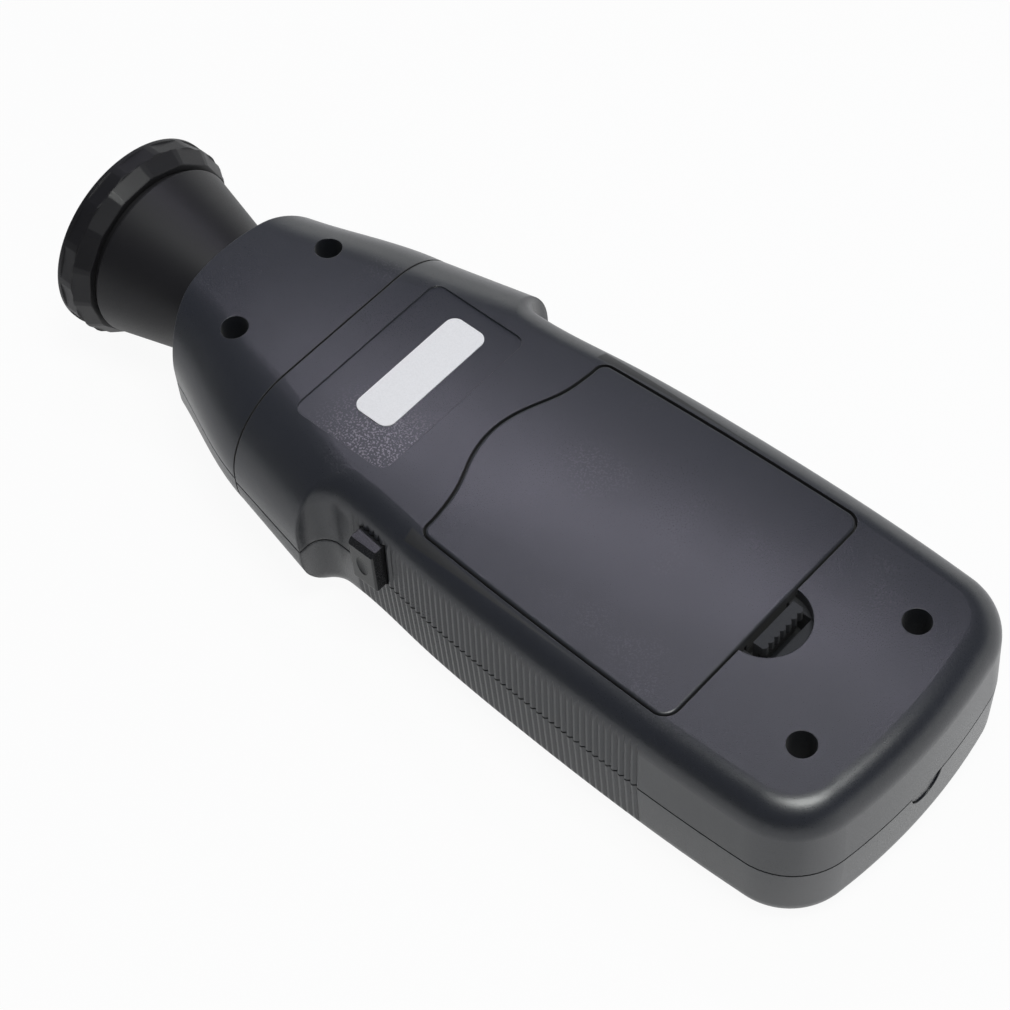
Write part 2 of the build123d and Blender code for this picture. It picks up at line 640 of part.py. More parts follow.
def reflector():
    """Parabolic reflector with a hole for the lamp and a rim under the lens."""
    radii = [math.sqrt(4 * REFLECTOR_FOCUS * (x - REFLECTOR_APEX_X))
             for x in (REFLECTOR_REAR_X, REFLECTOR_RIM_X)]
    steps = 8
    bowl = []
    for i in range(steps + 1):
        y = radii[0] + i / steps * (radii[1] - radii[0])
        bowl.append((REFLECTOR_APEX_X + y * y / (4 * REFLECTOR_FOCUS), y + LAMP_AXIS_Z))
    inner = Spline(*[(x, 0, z) for x, z in bowl])
    outer = Spline(*[(x, 0, z + REFLECTOR_T) for x, z in bowl])
    rim_z = LAMP_AXIS_Z + BARREL_NECK_R - RIM_WALL - FIT
    front = Polyline(inner @ 1, (LENS_X[0], 0, bowl[-1][1]), (LENS_X[0], 0, rim_z),
                     (REFLECTOR_RIM_X, 0, rim_z), outer @ 1)
    face = make_face([inner, front, outer, Line(outer @ 0, inner @ 0)])
    return revolve(face, Axis((0, 0, LAMP_AXIS_Z), (1, 0, 0)))


def lamp_led():
    """The lamp: a square package with a dome, on the lamp board."""
    package = Pos((LAMP_BOARD_X[1] + LED_BASE_X) / 2, 0, LAMP_AXIS_Z)
    led = package * Box(LED_BASE_X - LAMP_BOARD_X[1], 2 * LED_HALF_WIDTH, 2 * LED_HALF_WIDTH)
    dome = lamp_tube((LED_BASE_X - 0.1, LED_DOME_X), LED_DOME_R)
    rim = dome.edges().filter_by(GeomType.CIRCLE).sort_by(Axis.X)[-1:]
    return led + fillet(rim, LED_DOME_EDGE_R)


def facet_stock(x, radii, turn):
    """Many-sided stock whose flats lie a little below the given radii."""
    faces = []
    for place, radius in zip(x, radii):
        plane = Plane(origin=(place, 0, LAMP_AXIS_Z), x_dir=(0, 1, 0), z_dir=(1, 0, 0))
        outline = RegularPolygon(radius - FACET_DEPTH, RING_FACETS, major_radius=False)
        faces.append(plane * Rotation(0, 0, turn) * outline)
    return loft(faces, ruled=True)


def bezel_ring():
    """Ring round the lens with two staggered rows of shallow facets."""
    rear_x = (RING_REAR_X, RING_STEP_X)
    front_x = (RING_STEP_X, RING_LIP_X)
    rear = about_lamp_axis([(rear_x[0], 0), (rear_x[0], RING_REAR_R), (rear_x[1], RING_R),
                            (rear_x[1], 0)])
    rear &= facet_stock(rear_x, (RING_REAR_R, RING_R), 0)
    front = lamp_tube(front_x, RING_R) & facet_stock(front_x, (RING_R, RING_R), 180 / RING_FACETS)
    lip = lamp_tube((RING_LIP_X, RING_FRONT_X), RING_R)
    bores = [lamp_tube((0, LENS_X[0]), BARREL_NECK_R + FIT), lamp_tube(LENS_X, LENS_R + FIT),
             lamp_tube((0, FAR), RING_MOUTH_R)]
    return rear + [front, lip] - bores


def battery_cell(x, side):
    """One cell lying across the instrument, its plus end toward the given side."""
    can = Pos(0, 0, -CELL_NUB_H / 2) * Cylinder(CELL_R, CELL_LENGTH - CELL_NUB_H)
    can = fillet(can.edges().filter_by(GeomType.CIRCLE), 0.6)
    nub = Pos(0, 0, CELL_LENGTH / 2 - CELL_NUB_H / 2) * Cylinder(CELL_NUB_R, CELL_NUB_H)
    return Pos(x, 0, CELL_Z) * Rotation(-90 * side, 0, 0) * (can + nub)


def battery_contact(cells, side):
    """A contact strip on one side wall of the compartment, with a bent leaf for each cell."""
    places = [CELL_FIRST_X + i * CELL_PITCH for i in cells]
    low, high = CONTACT_Z
    flat_y = TRAY_HALF_WIDTH - CONTACT_T
    y = sorted((side * TRAY_HALF_WIDTH, side * flat_y))
    strip = block((places[0] - CONTACT_HALF_LENGTH, places[-1] + CONTACT_HALF_LENGTH), y, CONTACT_Z)
    back_y = LEAF_TIP_Y + CONTACT_T
    profile = [(flat_y + 0.1, high), (LEAF_TIP_Y, CELL_Z + 0.8), (LEAF_TIP_Y, CELL_Z - 0.8),
               (flat_y - 0.6, low), (flat_y - 0.2, low), (back_y, CELL_Z - 0.7),
               (back_y, CELL_Z + 0.7), (flat_y + 0.1, high - 0.6)]
    outline = make_face(Polyline(*[(0, side * v, z) for v, z in profile], close=True))
    for place in places:
        leaf = Pos(place - LEAF_HALF_WIDTH, 0, 0) * outline
        strip += extrude(leaf, 2 * LEAF_HALF_WIDTH, dir=(1, 0, 0))
    return strip


def measure_button():
    """Side button: a block with a chamfered top, a finger dimple and a keeper flange."""
    body = block(BUTTON_X, (BUTTON_FLANGE_Y[1] - 0.5, BUTTON_FACE_Y), BUTTON_Z)
    face = body.faces().sort_by(Axis.Y)[-1]
    body = chamfer(face.edges().sort_by(Axis.Z)[-1:], BUTTON_CHAMFER)
    face = body.faces().sort_by(Axis.Y)[-1]
    body = fillet(face.edges().sort_by(Axis.Z)[:-1], BUTTON_EDGE_R)
    centre_x = sum(BUTTON_X) / 2
    centre_z = sum(BUTTON_Z) / 2
    dimple = Pos(centre_x, BUTTON_FACE_Y, centre_z) * scale(Sphere(1), DIMPLE_SIZE)
    margin = BUTTON_FLANGE_MARGIN
    flange = block((BUTTON_X[0] - margin, BUTTON_X[1] + margin), BUTTON_FLANGE_Y,
                   (BUTTON_Z[0] - margin, BUTTON_Z[1] + margin))
    half = BUTTON_BOSS_HALF_WIDTH
    boss = block((centre_x - half, centre_x + half), (BUTTON_BOSS_Y, BUTTON_FLANGE_Y[0] + 0.1),
                 (centre_z - half, centre_z + half))
    return body - dimple + [flange, boss]


def trigger_switch():
    """Upright push switch on the board behind the side button."""
    switch = block(SWITCH_X, SWITCH_Y, (BOARD_Z[1], SWITCH_TOP_Z))
    plunger_y = (SWITCH_Y[1] - 0.5, PLUNGER_Y)
    centre = Pos(sum(SWITCH_X) / 2, sum(plunger_y) / 2, sum(BUTTON_Z) / 2)
    return switch + centre * Rotation(90, 0, 0) * Cylinder(PLUNGER_R, plunger_y[1] - plunger_y[0])


def key_cap(name):
    """One key cap with a keeper flange behind the cover and a post toward its dome."""
    face_z = FRONT_Z + KEYPAD_DEPTH - KEY_PROUD
    outline = key_outlines(0)[name]
    cap = extrude(Pos(0, 0, face_z) * outline, KEY_FLANGE_Z[1] - face_z)
    cap = fillet(cap.faces().sort_by(Axis.Z)[0].edges(), KEY_EDGE_R)
    flange = key_outlines(KEY_FLANGE)[name]
    cap += extrude(Pos(0, 0, KEY_FLANGE_Z[0]) * flange, KEY_FLANGE_Z[1] - KEY_FLANGE_Z[0])
    centre = outline.center()
    return cap + post((centre.X, centre.Y), (KEY_FLANGE_Z[1] - 0.1, KEY_POST_Z), KEY_POST_R)


def key_mat():
    """Rubber mat on the board with a dome under each key."""
    sheet_z = (BOARD_Z[0] - MAT_T, BOARD_Z[0])
    mat = rounded_plate((KEYPAD_X[0] + 1, KEYPAD_X[1]), (1 - KEYPAD_HALF_WIDTH, KEYPAD_HALF_WIDTH - 1),
                        sheet_z, KEYPAD_R)
    height = sheet_z[0] - DOME_TIP_Z
    for outline in key_outlines(0).values():
        centre = outline.center()
        mat += Pos(centre.X, centre.Y, sheet_z[0] - height / 2) * Cone(DOME_R[1], DOME_R[0], height,
                                                                      rotation=(180, 0, 0))
    return mat


def display():
    """Display panel, the frame that holds it to the board, and the window in the cover."""
    half_x, half_y = LCD_SIZE[0] / 2, LCD_SIZE[1] / 2
    x = (WINDOW_X - half_x, WINDOW_X + half_x)
    frame = middle_block((x[0] - LCD_RIM, x[1] + LCD_RIM), half_y + LCD_RIM, (LCD_Z[0] + 1, BOARD_Z[0]))
    frame -= middle_block(x, half_y, (0, LCD_Z[1]))
    frame -= middle_block((x[0] + LCD_RIM, x[1] - LCD_RIM), half_y - LCD_RIM, (0, FAR))
    window_z = FRONT_Z + WINDOW_SINK
    return {"lcd_panel": middle_block(x, half_y, LCD_Z), "lcd_frame": frame,
            "display_window": window_plate(0, (window_z, window_z + WINDOW_T))}


def main_board():
    """The circuit board with its screw holes and its largest parts."""
    board = rounded_plate(BOARD_X, (-BOARD_HALF_WIDTH, BOARD_HALF_WIDTH), BOARD_Z, BOARD_R)
    for place in BOARD_SCREWS:
        board -= [post(spot, (0, FAR), BORE_R) for spot in both_sides(place)]
    base_z = BOARD_Z[1] - 0.1
    processor = block((-30.0, -20.0), (-5.0, 5.0), (base_z, BOARD_Z[1] + 1.6))
    lamp_driver = block((20.0, 30.0), (-12.0, 0.0), (base_z, BOARD_Z[1] + 6.0))
    capacitor = post((12.0, -12.0), (base_z, BOARD_Z[1] + 12.0), 5.0)
    return board + [processor, lamp_driver, capacitor]


def screw(place, head_z, length):
    """A round-head screw with a straight slot, standing head up."""
    head = post(place, (head_z, head_z + SCREW_HEAD_H), SCREW_HEAD_R)
    head = fillet(head.edges().filter_by(GeomType.CIRCLE).sort_by(Axis.Z)[-1:], 0.8)
    half = SLOT_WIDTH / 2
    head -= block((place[0] - 5, place[0] + 5), (place[1] - half, place[1] + half),
                  (head_z + SCREW_HEAD_H - 1, FAR))
    return head + post(place, (head_z - length, head_z + 0.1), SCREW_R)


def screws(places, head_z, length):
    """A group of like screws, mirrored to both sides of the middle plane."""
    return Compound([screw(spot, head_z, length) for place in places for spot in both_sides(place)])


def battery_parts():
    """The four cells, laid head to tail, and the contacts that join them in a row."""
    parts = {}
    for i in range(CELL_COUNT):
        side = 1 if i % 2 == 0 else -1
        parts[f"battery_cell_{i + 1}"] = battery_cell(CELL_FIRST_X + i * CELL_PITCH, side)
    parts["contact_plus"] = battery_contact([0], 1)
    parts["contact_minus"] = battery_contact([CELL_COUNT - 1], 1)
    for i in range(CELL_COUNT - 1):
        side = -1 if i % 2 == 0 else 1
        parts[f"contact_bridge_{i + 1}"] = battery_contact([i, i + 1], side)
    return parts


def lamp_parts():
    """The lamp unit: barrel, reflector, lamp, its board, the lens and the ring."""
    return {"lamp_barrel": lamp_barrel(), "reflector": reflector(), "lamp_led": lamp_led(),
            "lamp_board": lamp_tube(LAMP_BOARD_X, LAMP_BOARD_R - FIT),
            "front_lens": lamp_tube(LENS_X, LENS_R), "bezel_ring": bezel_ring()}


def all_parts():
    """Every piece of the instrument, by name."""
    outer = outer_half()
    cavity = body_half(WALL, SEAM_X + 1)
    sticker_z = (REAR_Z - PANEL_DEPTH, REAR_Z - PANEL_DEPTH + STICKER_T)
    parts = {"rear_cover": rear_cover(outer, cavity), "front_cover": front_cover(outer, cavity)}
    parts |= nose_shells() | lamp_parts() | battery_parts() | display()
    parts["battery_door"] = battery_door()
    parts["measure_button"] = measure_button()
    parts["trigger_switch"] = trigger_switch()
    parts["label_sticker"] = rounded_plate(STICKER_X, STICKER_Y, sticker_z, STICKER_R)
    parts["main_board"] = main_board()
    parts["key_mat"] = key_mat()
    parts |= {name: key_cap(name) for name in key_outlines(0)}
    parts["tail_screws"] = screws([TAIL_SCREW], WELL_FLOOR_Z, SCREW_LENGTH)
    parts["nose_screws"] = screws([NOSE_SCREW], WELL_FLOOR_Z, SCREW_LENGTH)
    parts["board_screws"] = screws(BOARD_SCREWS, BOARD_Z[1], BOARD_SCREW_LENGTH)
    return parts


os.makedirs("parts", exist_ok=True)
for name, solid in all_parts().items():
    export_step(solid, f"parts/{name}.step")
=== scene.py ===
import logging
import math
from dataclasses import dataclass
from enum import Enum
from typing import Any, Mapping, Optional, Sequence, Union

import bpy
import numpy as np
from mathutils import Matrix


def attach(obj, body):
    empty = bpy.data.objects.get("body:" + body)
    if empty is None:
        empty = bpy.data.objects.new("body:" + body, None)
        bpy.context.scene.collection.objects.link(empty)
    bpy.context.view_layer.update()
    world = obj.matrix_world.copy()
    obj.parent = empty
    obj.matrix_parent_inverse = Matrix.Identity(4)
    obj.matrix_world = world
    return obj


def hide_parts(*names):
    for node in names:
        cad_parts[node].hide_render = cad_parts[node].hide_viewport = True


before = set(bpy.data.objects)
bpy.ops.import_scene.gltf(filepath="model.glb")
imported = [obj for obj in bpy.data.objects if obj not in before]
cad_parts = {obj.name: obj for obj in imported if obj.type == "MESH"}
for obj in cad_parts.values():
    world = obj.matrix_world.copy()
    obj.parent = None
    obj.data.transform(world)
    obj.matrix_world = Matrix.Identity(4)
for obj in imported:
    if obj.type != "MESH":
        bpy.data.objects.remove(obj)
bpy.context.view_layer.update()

log = logging.getLogger("tachometer")
MM = 0.001
SHARP = math.radians(35)

WHITE = (1.0, 1.0, 1.0)
BLACK = (0.0, 0.0, 0.0)

Point = tuple[float, float, float]
Rgb = tuple[float, float, float]
Number = Union[float, int, "Signal"]
Socket = Union[str, int]
Box = tuple[tuple[float, ...], tuple[float, ...]]


def in_metres(*values: float) -> tuple[float, ...]:
    """Millimetres as metres."""
    return tuple(value * MM for value in values)


class Signal:
    """One output of a shader node, on which Python arithmetic adds Math nodes."""

    def __init__(self, shader: "Shader", socket: bpy.types.NodeSocket) -> None:
        """Keeps the shader that the output belongs to, and the output's socket."""
        self.shader = shader
        self.socket = socket

    def math(self, operation: str, *values: Number, clamp: bool = False) -> "Signal":
        """Adds one Math node.

        Args:
            operation: The Math node's operation.
            values: Its inputs in order, numbers or signals.
            clamp: Whether the result is kept between 0 and 1.

        Returns:
            The node's result.
        """
        settings = {"operation": operation, "use_clamp": clamp}
        return self.shader.add("ShaderNodeMath", settings, dict(enumerate(values)))

    def __add__(self, other: Number) -> "Signal":
        """Sum."""
        return self.math("ADD", self, other)

    def __radd__(self, other: Number) -> "Signal":
        """Sum with a number in front."""
        return self.math("ADD", other, self)

    def __sub__(self, other: Number) -> "Signal":
        """Difference."""
        return self.math("SUBTRACT", self, other)

    def __rsub__(self, other: Number) -> "Signal":
        """Difference from a number in front."""
        return self.math("SUBTRACT", other, self)

    def __mul__(self, other: Number) -> "Signal":
        """Product."""
        return self.math("MULTIPLY", self, other)

    def __rmul__(self, other: Number) -> "Signal":
        """Product with a number in front."""
        return self.math("MULTIPLY", other, self)

    def __truediv__(self, other: Number) -> "Signal":
        """Quotient."""
        return self.math("DIVIDE", self, other)

    def __rtruediv__(self, other: Number) -> "Signal":
        """Quotient with a number in front."""
        return self.math("DIVIDE", other, self)

    def clamped(self) -> "Signal":
        """The same signal kept between 0 and 1."""
        return self.math("ADD", self, 0.0, clamp=True)

    def magnitude(self) -> "Signal":
        """The signal without its sign."""
        return self.math("ABSOLUTE", self)

    def larger(self, other: Number) -> "Signal":
        """The larger of two."""
        return self.math("MAXIMUM", self, other)

    def smaller(self, other: Number) -> "Signal":
        """The smaller of two."""
        return self.math("MINIMUM", self, other)

    def fraction(self) -> "Signal":
        """What is left of the signal above the whole number below it."""
        return self.math("FRACT", self)

    def rise(self, low: float, high: float) -> "Signal":
        """Smooth step of the signal.

        Args:
            low: The value at which the step starts.
            high: The value at which it is done; a value below low makes it fall.

        Returns:
            3t² - 2t³ of the share t of the way from low to high, kept between 0 and 1.
        """
        settings = {"interpolation_type": "SMOOTHSTEP"}
        inputs = {"Value": self, "From Min": low, "From Max": high}
        return self.shader.add("ShaderNodeMapRange", settings, inputs)


class Shader:
    """The node tree of one material or world while it is being built."""

    def __init__(self, tree: bpy.types.NodeTree) -> None:
        """Starts with an empty tree."""
        tree.nodes.clear()
        self.tree = tree

    def node(self, kind: str, settings: Optional[Mapping[str, Any]] = None,
             inputs: Optional[Mapping[Socket, Any]] = None) -> bpy.types.Node:
        """Adds a node of any type.

        Args:
            kind: The node's type.
            settings: Its properties, which are set first.
            inputs: Values or signals for its sockets, by name or number.

        Returns:
            The node.
        """
        node = self.tree.nodes.new(kind)
        for key, value in (settings or {}).items():
            setattr(node, key, value)
        for key, value in (inputs or {}).items():
            if isinstance(value, Signal):
                self.tree.links.new(value.socket, node.inputs[key])
            elif isinstance(value, tuple) and len(node.inputs[key].default_value) == 4:
                node.inputs[key].default_value = (*value, 1.0)
            else:
                node.inputs[key].default_value = value
        return node

    def add(self, kind: str, settings: Optional[Mapping[str, Any]] = None,
            inputs: Optional[Mapping[Socket, Any]] = None, output: Socket = 0) -> Signal:
        """Adds a node as node() does, and hands back the named or numbered output."""
        return Signal(self, self.node(kind, settings, inputs).outputs[output])

    def place(self) -> Signal:
        """The point's place in the part's own frame, in metres."""
        return self.add("ShaderNodeTexCoord", output="Object")

    def axes(self, vector: Signal) -> tuple[Signal, Signal, Signal]:
        """The three parts of a vector as signals."""
        node = self.node("ShaderNodeSeparateXYZ", inputs={0: vector})
        return tuple(Signal(self, output) for output in node.outputs)

    def stretched(self, vector: Signal, factors: Point) -> Signal:
        """The vector with each part multiplied by its own factor."""
        return self.add("ShaderNodeVectorMath", {"operation": "MULTIPLY"}, {0: vector, 1: factors})

    def noise(self, vector: Signal, grain: float, detail: float = 2.0,
              roughness: float = 0.5) -> Signal:
        """Noise of a given grain.

        Args:
            vector: The point at which it is read.
            grain: Size of its largest blotches, in metres.
            detail: Octaves of finer blotches.
            roughness: Share of each finer octave.

        Returns:
            A value about 0.5.
        """
        inputs = {"Vector": vector, "Scale": 1 / grain, "Detail": detail, "Roughness": roughness}
        return self.add("ShaderNodeTexNoise", {"normalize": True}, inputs)

    def mixed(self, share: Number, first: Any, second: Any) -> Signal:
        """Colour between two colours.

        Args:
            share: 0 for the first colour and 1 for the second.
            first: A colour or a signal.
            second: A colour or a signal.

        Returns:
            The mixed colour.
        """
        settings = {"data_type": "RGBA", "clamp_factor": True}
        return self.add("ShaderNodeMix", settings, {0: share, 6: first, 7: second}, output=2)

    def rounded_normal(self, radius: float) -> Signal:
        """Normal of the surface with its edges rounded by the radius."""
        return self.add("ShaderNodeBevel", {"samples": 4}, {"Radius": radius})

    def either(self, share: Signal, first: Signal, second: Signal) -> Signal:
        """Vector between two vectors: the first at share 0 and the second at share 1."""
        return self.add("ShaderNodeMix", {"data_type": "VECTOR"}, {0: share, 4: first, 5: second},
                        output=1)

    def within(self, vector: Signal, box: Box, soft: float) -> Signal:
        """Inside of a box.

        Args:
            vector: The point that is tested.
            box: The box's lowest and highest corner.
            soft: Width over which the value falls at each face.

        Returns:
            1 inside the box and 0 outside: the product of one smooth step for each face.
        """
        share = None
        for value, start, end in zip(self.axes(vector), *box):
            step = value.rise(start, start + soft) * value.rise(end, end - soft)
            share = step if share is None else share * step
        return share

    def crevice(self, reach: float) -> Signal:
        """How enclosed a point is.

        Args:
            reach: Distance at which other surfaces still count, in metres.

        Returns:
            0 on an open surface and 1 deep in a gap: 1 less the unblocked share of the sky.
        """
        open_sky = self.add("ShaderNodeAmbientOcclusion", {"samples": 8, "only_local": False},
                            {"Distance": reach}, output="AO")
        return (1 - open_sky).clamped()

    def edge(self, rounded: Signal) -> Signal:
        """How far a point lies on an edge.

        Args:
            rounded: The rounded normal there.

        Returns:
            1 less the cosine of the angle between the rounded and the true normal.
        """
        true = self.add("ShaderNodeNewGeometry", output="Normal")
        dot = self.add("ShaderNodeVectorMath", {"operation": "DOT_PRODUCT"},
                       {0: rounded, 1: true}, output="Value")
        return (1 - dot).clamped()

    def bump(self, height: Number, depth: float, normal: Optional[Signal] = None) -> Signal:
        """Normal of a surface with a relief.

        Args:
            height: The relief, as a share of the depth.
            depth: Its depth in metres.
            normal: The normal under the relief.

        Returns:
            The normal of the relief.
        """
        inputs = {"Height": height, "Distance": depth, "Strength": 1.0}
        if normal is not None:
            inputs["Normal"] = normal
        return self.add("ShaderNodeBump", inputs=inputs)

    def surface(self, **inputs: Any) -> None:
        """Ends a material in a Principled shader; a socket's name has _ for a space."""
        named = {key.replace("_", " "): value for key, value in inputs.items()}
        self.end(self.add("ShaderNodeBsdfPrincipled", inputs=named))

    def end(self, shader: Signal, kind: str = "ShaderNodeOutputMaterial") -> None:
        """Ends a material, or a world with its own kind of output, in the given shader."""
        self.node(kind, inputs={"Surface": shader})


@dataclass(frozen=True)
class Finish:
    """A surface finish; each kind of finish says how its shader is built."""

    name: str

    def material(self) -> bpy.types.Material:
        """The finish as a Blender material, made once."""
        made = bpy.data.materials.get(self.name)
        if made is None:
            made = bpy.data.materials.new(self.name)
            made.use_nodes = True
            self.build(Shader(made.node_tree))
        return made

    def build(self, shader: Shader) -> None:
        """Builds the shader's nodes."""
        raise NotImplementedError


@dataclass(frozen=True)
class MouldedPlastic(Finish):
    """Injection-moulded plastic with a spark-eroded grain, handled edges, painted shade in its
    gaps and painted glints.

    Lengths are in metres. The fields that end in _rough are added to the roughness.
    """

    colour: Rgb
    roughness: float
    grain: float = 0.2 * MM
    grain_depth: float = 0.018 * MM
    grain_rough: float = 0.28
    edge_radius: float = 0.25 * MM
    wear: float = 0.3
    worn_patch: float = 3 * MM
    worn_rough: float = -0.12
    polish: float = 0.1
    polish_patch: float = 22 * MM
    mottle: float = 30 * MM
    gap: float = 4 * MM
    gap_shut: tuple[float, float] = (0.42, 0.88)
    gap_rough: float = 0.3
    # Colour and share of the painted shade in gaps, which the dark joint lines use too.
    shade_and_joint_colour: Rgb = (0.006, 0.006, 0.006)
    shade_share: float = 0.9
    specular: float = 0.5
    sheen_weight: float = 0.02
    # Grain and colour of the painted glints, pale marks that stand in for sparkle in highlights.
    glint_grain: float = 0.42 * MM
    glint_colour: Rgb = (0.24, 0.22, 0.25)

    def normal(self, shader: Shader, place: Signal) -> Signal:
        """The normal with rounded edges, under the grain."""
        return shader.rounded_normal(self.edge_radius)

    def joints(self, shader: Shader, place: Signal) -> Number:
        """Where joint lines are drawn dark and gaps get painted shade, from 0 to 1; here nowhere.
        """
        return 0.0

    def crown(self, shader: Shader, place: Signal, normal: Signal) -> Signal:
        """The normal with any broad swelling of the surface."""
        return normal

    def glint_share(self, shader: Shader, place: Signal) -> Number:
        """Where pale glints are painted in as sparkle in highlights, from 0 to 1; here nowhere."""
        return 0.0

    def sheen(self, shader: Shader, place: Signal) -> Number:
        """What the place takes off the roughness."""
        return shader.noise(place, self.polish_patch, detail=3).rise(0.5, 0.75) * self.polish

    def build(self, shader: Shader) -> None:
        """Grain, uneven sheen, painted shade in gaps, painted glints, and edges that handling has
        made paler.
        """
        place = shader.place()
        fine = shader.noise(place, self.grain, detail=2, roughness=0.6)
        broad = shader.noise(place, self.mottle, detail=3)
        rounded = self.normal(shader, place)
        handled = shader.noise(place, self.worn_patch).rise(0.35, 0.7)
        worn = shader.edge(rounded) * handled * self.wear
        # Painted glints: pale marks where the grain would sparkle in the lamps' highlights.
        painted_glints = (shader.noise(place, self.glint_grain, detail=1).rise(0.53, 0.62)
                  * self.glint_share(shader, place))
        paler = tuple(c * 3.0 + 0.01 for c in self.colour)
        darker = tuple(c * 0.85 for c in self.colour)
        base = shader.mixed(broad.rise(0.3, 0.7), self.colour, darker)
        worn_and_glinting = shader.mixed(painted_glints, shader.mixed(worn, base, paler), self.glint_colour)
        # Painted shade: the colour darkens where a gap is enclosed, and on the dark joint lines.
        deep = shader.crevice(self.gap).rise(*self.gap_shut).larger(self.joints(shader, place))
        shader.surface(
            Base_Color=shader.mixed(deep * self.shade_share, worn_and_glinting, self.shade_and_joint_colour),
            Roughness=(self.roughness + (fine - 0.5) * self.grain_rough
                       - self.sheen(shader, place)
                       + worn * self.worn_rough + deep * self.gap_rough).clamped(),
            Specular_IOR_Level=self.specular, Sheen_Weight=self.sheen_weight, Sheen_Roughness=0.45,
            Normal=shader.bump(fine, self.grain_depth, self.crown(shader, place, rounded)))


@dataclass(frozen=True)
class GripPlastic(MouldedPlastic):
    """The housing's plastic: dark joint lines, painted shade in the door's gap, soft guard crests
    and painted glints in the label recess.

    All lengths and boxes are in metres in the part's own frame. The first group of fields
    rounds the guards, the second swells the rear face, the third draws the dark joint lines,
    the painted shade in the door's gap and the darker thumb recess, and the fourth paints
    glints on the rear face and polishes it.
    """

    guard_radius: float = 1.1 * MM
    guards: Box = (in_metres(4, 26, 0), in_metres(34, 60, 50))
    guard_soft: float = 2 * MM

    crown_radius: float = 300 * MM
    crown_ridge: tuple[float, float] = (10 * MM, 0.17)
    crown_reach: float = 14 * MM
    crown_fade: tuple[float, ...] = in_metres(38.5, 39.8)

    parting_z: float = 21.8 * MM
    nose_parting_z: float = 22.9 * MM
    nose_start: tuple[float, ...] = in_metres(42.4, 42.7)
    seam_x: float = 42.55 * MM
    line: float = 0.36 * MM
    soft: float = 0.12 * MM
    door_rim: Box = (in_metres(-68.7, -30.1, 38.6), in_metres(-3.2, 30.1, 40.1))
    thumb: Box = (in_metres(-77.8, -9, 36), in_metres(-68.6, 9, 39.9))
    latch_bar: Box = (in_metres(-73.2, -6.2, 37.5), in_metres(-70, 6.2, 40.8))
    # Painted shade in the door's gap, and how much darker the thumb recess is drawn.
    door_gap_shade: float = 0.9
    thumb_darkening: float = 0.3

    # Painted glints in the label recess and on the rear face; face_polish and thumb_rough set
    # roughness.
    recess: Box = (in_metres(10.4, -21.3, 39), in_metres(35.4, 21.3, 40.15))
    recess_soft: float = 0.1 * MM
    corner_x: tuple[float, ...] = in_metres(34, 18)
    corner_y: tuple[float, ...] = in_metres(2, 16)
    corner_glint: float = 0.8
    face_z: tuple[float, ...] = in_metres(39.5, 40)
    glint_patch: float = 26 * MM
    face_glint: float = 0.14
    face_polish: float = 40 * MM
    thumb_rough: float = 0.35

    def normal(self, shader: Shader, place: Signal) -> Signal:
        """Small edge rounding everywhere, and a large one on the crests of both guards."""
        x, y, z = shader.axes(place)
        folded = shader.add("ShaderNodeCombineXYZ", inputs={0: x, 1: y.magnitude(), 2: z})
        guard = shader.within(folded, self.guards, self.guard_soft)
        return shader.either(guard, shader.rounded_normal(self.edge_radius),
                             shader.rounded_normal(self.guard_radius))

    def joints(self, shader: Shader, place: Signal) -> Signal:
        """The dark parting lines of covers and nose and the seam between them, the painted
        shade in the door's gap, and the darkened thumb recess.

        Args:
            shader: The tree that is built.
            place: The point.

        Returns:
            1 on a line, falling to 0 at half its width on each side.
        """
        x, _, z = shader.axes(place)
        ahead = x.rise(*self.nose_start)
        covers = (z - self.parting_z).magnitude()
        nose = (z - self.nose_parting_z).magnitude()
        level = covers * (1 - ahead) + nose * ahead
        seam = (x - self.seam_x).magnitude()
        # Painted shade in the door's gap.
        door = shader.within(place, self.door_rim, self.soft)
        thumb = self.latch_place(shader, place)
        return (level.rise(self.line, self.line * 0.4) + seam.rise(self.line, self.line * 0.6)
                + door * self.door_gap_shade + thumb * self.thumb_darkening).clamped()

    def latch_place(self, shader: Shader, place: Signal) -> Signal:
        """1 in the thumb recess and on the latch's bar, which are drawn darker and rougher."""
        recess = shader.within(place, self.thumb, self.soft)
        return recess.larger(shader.within(place, self.latch_bar, self.soft))

    def crown(self, shader: Shader, place: Signal, normal: Signal) -> Signal:
        """Slight swelling of the flat rear face across the instrument.

        Args:
            shader: The tree that is built.
            place: The point.
            normal: The normal under it.

        Returns:
            The normal of the height -d²/2R, where d is the distance across from the ridge,
            y - a - b x, and R is the crown's radius: the normal plus (-b, 1, 0) d/R. It
            leans no further beyond the crown's reach and fades out below the rear face.
        """
        x, y, z = shader.axes(place)
        offset, slant = self.crown_ridge
        across = (y - offset - x * slant).smaller(self.crown_reach)
        lean = across * z.rise(*self.crown_fade) / self.crown_radius
        tilt = shader.add("ShaderNodeCombineXYZ", inputs={0: lean * -slant, 1: lean})
        leaning = shader.add("ShaderNodeVectorMath", {"operation": "ADD"}, {0: normal, 1: tilt})
        return shader.add("ShaderNodeVectorMath", {"operation": "NORMALIZE"}, {0: leaning})

    def glint_share(self, shader: Shader, place: Signal) -> Number:
        """Painted glints in one corner of the label recess, and in faint patches all over the flat
        face.
        """
        x, y, z = shader.axes(place)
        recess = shader.within(place, self.recess, self.recess_soft)
        corner = recess * y.rise(*self.corner_y) * x.rise(*self.corner_x)
        patch = shader.noise(place, self.glint_patch, detail=2).rise(0.5, 0.68)
        return corner * self.corner_glint + patch * z.rise(*self.face_z) * self.face_glint

